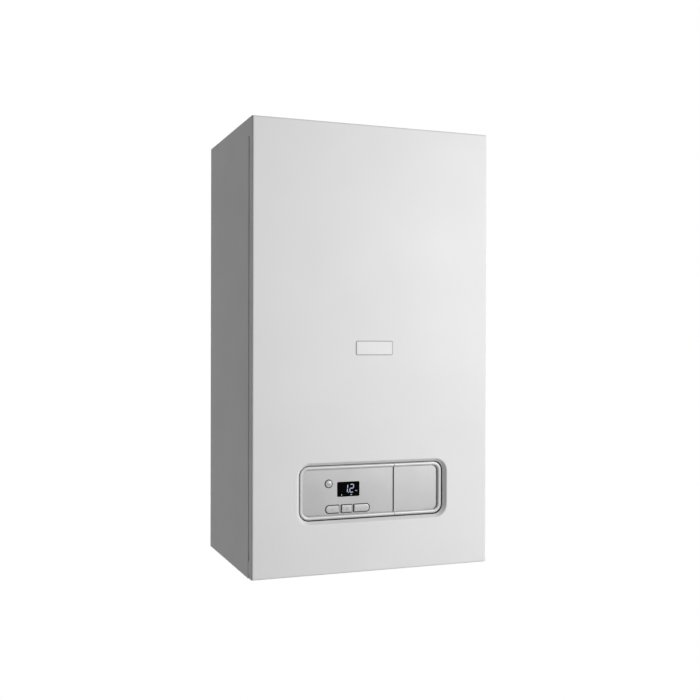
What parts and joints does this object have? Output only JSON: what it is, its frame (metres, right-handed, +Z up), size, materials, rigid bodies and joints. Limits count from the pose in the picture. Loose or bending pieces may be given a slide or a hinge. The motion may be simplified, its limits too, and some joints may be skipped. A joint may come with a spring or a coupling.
{
  "type": "combi boiler",
  "caption": "Wall-hung gas combi boiler with a lift-off front panel, a swing-down control box with fascia, keys and display, and its flue, burner, pump and water parts inside.",
  "frame": {"origin": "middle of the footprint at the lower rim of the casing", "axes": "+X across the boiler to the right seen from the front, +Y from the front panel towards the wall, +Z up"},
  "size_m": [0.418, 0.3008, 0.762],
  "materials": {
    "white_paint": "satin white stove paint",
    "zinc_sheet": "zinc-coated sheet steel",
    "steel": "stainless steel",
    "cast_aluminium": "sand-cast",
    "copper": "drawn copper pipe",
    "brass": "machined brass",
    "black_plastic": "fine textured",
    "grey_plastic": "satin grey",
    "silver_plastic": "light silver",
    "dark_glass": "black display window",
    "rubber": "soft black",
    "red_paint": "red enamel",
    "board_green": "solder resist",
    "ceramic": "unglazed",
    "red_plastic": "satin",
    "blue_plastic": "satin"
  },
  "bodies": {
    "root": {"side_panel_left": "white_paint", "side_panel_right": "white_paint", "top_plate": "white_paint", "back_frame": "zinc_sheet", "hanging_bracket": "zinc_sheet", "lower_rail": "zinc_sheet", "bottom_plate": "zinc_sheet", "burner_tube": "steel", "plate_heat_exchanger": "steel", "flue_collar": "cast_aluminium", "exhaust_duct": "cast_aluminium", "heat_exchanger": "cast_aluminium", "burner_door": "cast_aluminium", "fan_housing": "cast_aluminium", "mixing_duct": "cast_aluminium", "gas_valve": "cast_aluminium", "gas_pipe_upper": "copper", "gas_pipe_lower": "copper", "cold_water_pipe": "copper", "hot_water_pipe": "copper", "flow_pipe": "copper", "return_pipe": "copper", "vessel_pipe": "copper", "filling_valve": "brass", "relief_valve": "brass", "cable_gland": "black_plastic", "fan_motor": "black_plastic", "venturi": "black_plastic", "diverter_body": "black_plastic", "pump_housing": "black_plastic", "pump_motor": "black_plastic", "flow_sensor": "black_plastic", "diverter_motor": "grey_plastic", "condensate_trap": "grey_plastic", "condensate_hose": "grey_plastic", "sight_glass": "dark_glass", "flue_gasket": "rubber", "door_gasket": "rubber", "expansion_vessel": "red_paint", "ignition_electrode": "ceramic"},
    "front_panel": {"front_panel": "white_paint", "front_seal": "rubber", "plaque": "silver_plastic", "front_screw_left": "steel", "front_screw_right": "steel"},
    "control_box": {"control_box": "black_plastic", "control_box_cover": "black_plastic", "circuit_board": "board_green", "display": "dark_glass", "fascia": "grey_plastic"},
    "blanking_cover": {"blanking_cover": "grey_plastic"},
    "reset_button": {"reset_button": "grey_plastic"},
    "key_left": {"key_left": "grey_plastic"},
    "key_middle": {"key_middle": "grey_plastic"},
    "key_right": {"key_right": "grey_plastic"},
    "fan_impeller": {"fan_impeller": "black_plastic"},
    "pump_impeller": {"pump_impeller": "black_plastic"},
    "diverter_stem": {"diverter_stem": "brass"},
    "relief_knob": {"relief_knob": "red_plastic"},
    "filling_knob": {"filling_knob": "blue_plastic"}
  },
  "joints": [
    {"name": "front_panel_lift_off", "type": "slide", "parent": "root", "child": "front_panel", "axis": [0, -1, 0], "range_m": [0, 0.3]},
    {"name": "control_box_swing", "type": "hinge", "parent": "root", "child": "control_box", "pos_m": [0, -0.1238, 0.0855], "axis": [1, 0, 0], "range_deg": [0, 80]},
    {"name": "blanking_cover_pull", "type": "slide", "parent": "control_box", "child": "blanking_cover", "axis": [0, -1, 0], "range_m": [0, 0.04]},
    {"name": "reset_button_press", "type": "slide", "parent": "control_box", "child": "reset_button", "axis": [0, 1, 0], "range_m": [0, 0.0008], "stiffness_N_per_m": 600, "springref_m": -0.0006},
    {"name": "key_left_press", "type": "slide", "parent": "control_box", "child": "key_left", "axis": [0, 1, 0], "range_m": [0, 0.0008], "stiffness_N_per_m": 600, "springref_m": -0.0006},
    {"name": "key_middle_press", "type": "slide", "parent": "control_box", "child": "key_middle", "axis": [0, 1, 0], "range_m": [0, 0.0008], "stiffness_N_per_m": 600, "springref_m": -0.0006},
    {"name": "key_right_press", "type": "slide", "parent": "control_box", "child": "key_right", "axis": [0, 1, 0], "range_m": [0, 0.0008], "stiffness_N_per_m": 600, "springref_m": -0.0006},
    {"name": "fan_spin", "type": "hinge", "parent": "root", "child": "fan_impeller", "pos_m": [0.1348, 0.0004, 0.6], "axis": [0, 1, 0], "continuous": true},
    {"name": "pump_spin", "type": "hinge", "parent": "root", "child": "pump_impeller", "pos_m": [0.1443, 0.0204, 0.1132], "axis": [0, 1, 0], "continuous": true},
    {"name": "diverter_stem_slide", "type": "slide", "parent": "root", "child": "diverter_stem", "axis": [0, 0, 1], "range_m": [0, 0.005]},
    {"name": "relief_knob_turn", "type": "hinge", "parent": "root", "child": "relief_knob", "pos_m": [0.104, -0.0196, 0.0772], "axis": [0, 1, 0], "range_deg": [0, 60]},
    {"name": "filling_knob_turn", "type": "hinge", "parent": "root", "child": "filling_knob", "pos_m": [-0.1263, -0.0196, 0.0872], "axis": [0, 1, 0], "range_deg": [0, 90]}
  ],
  "couplings": [
    {"joint": "control_box_swing", "follows": "front_panel_lift_off", "rad_per_m": 4.654}
  ]
}
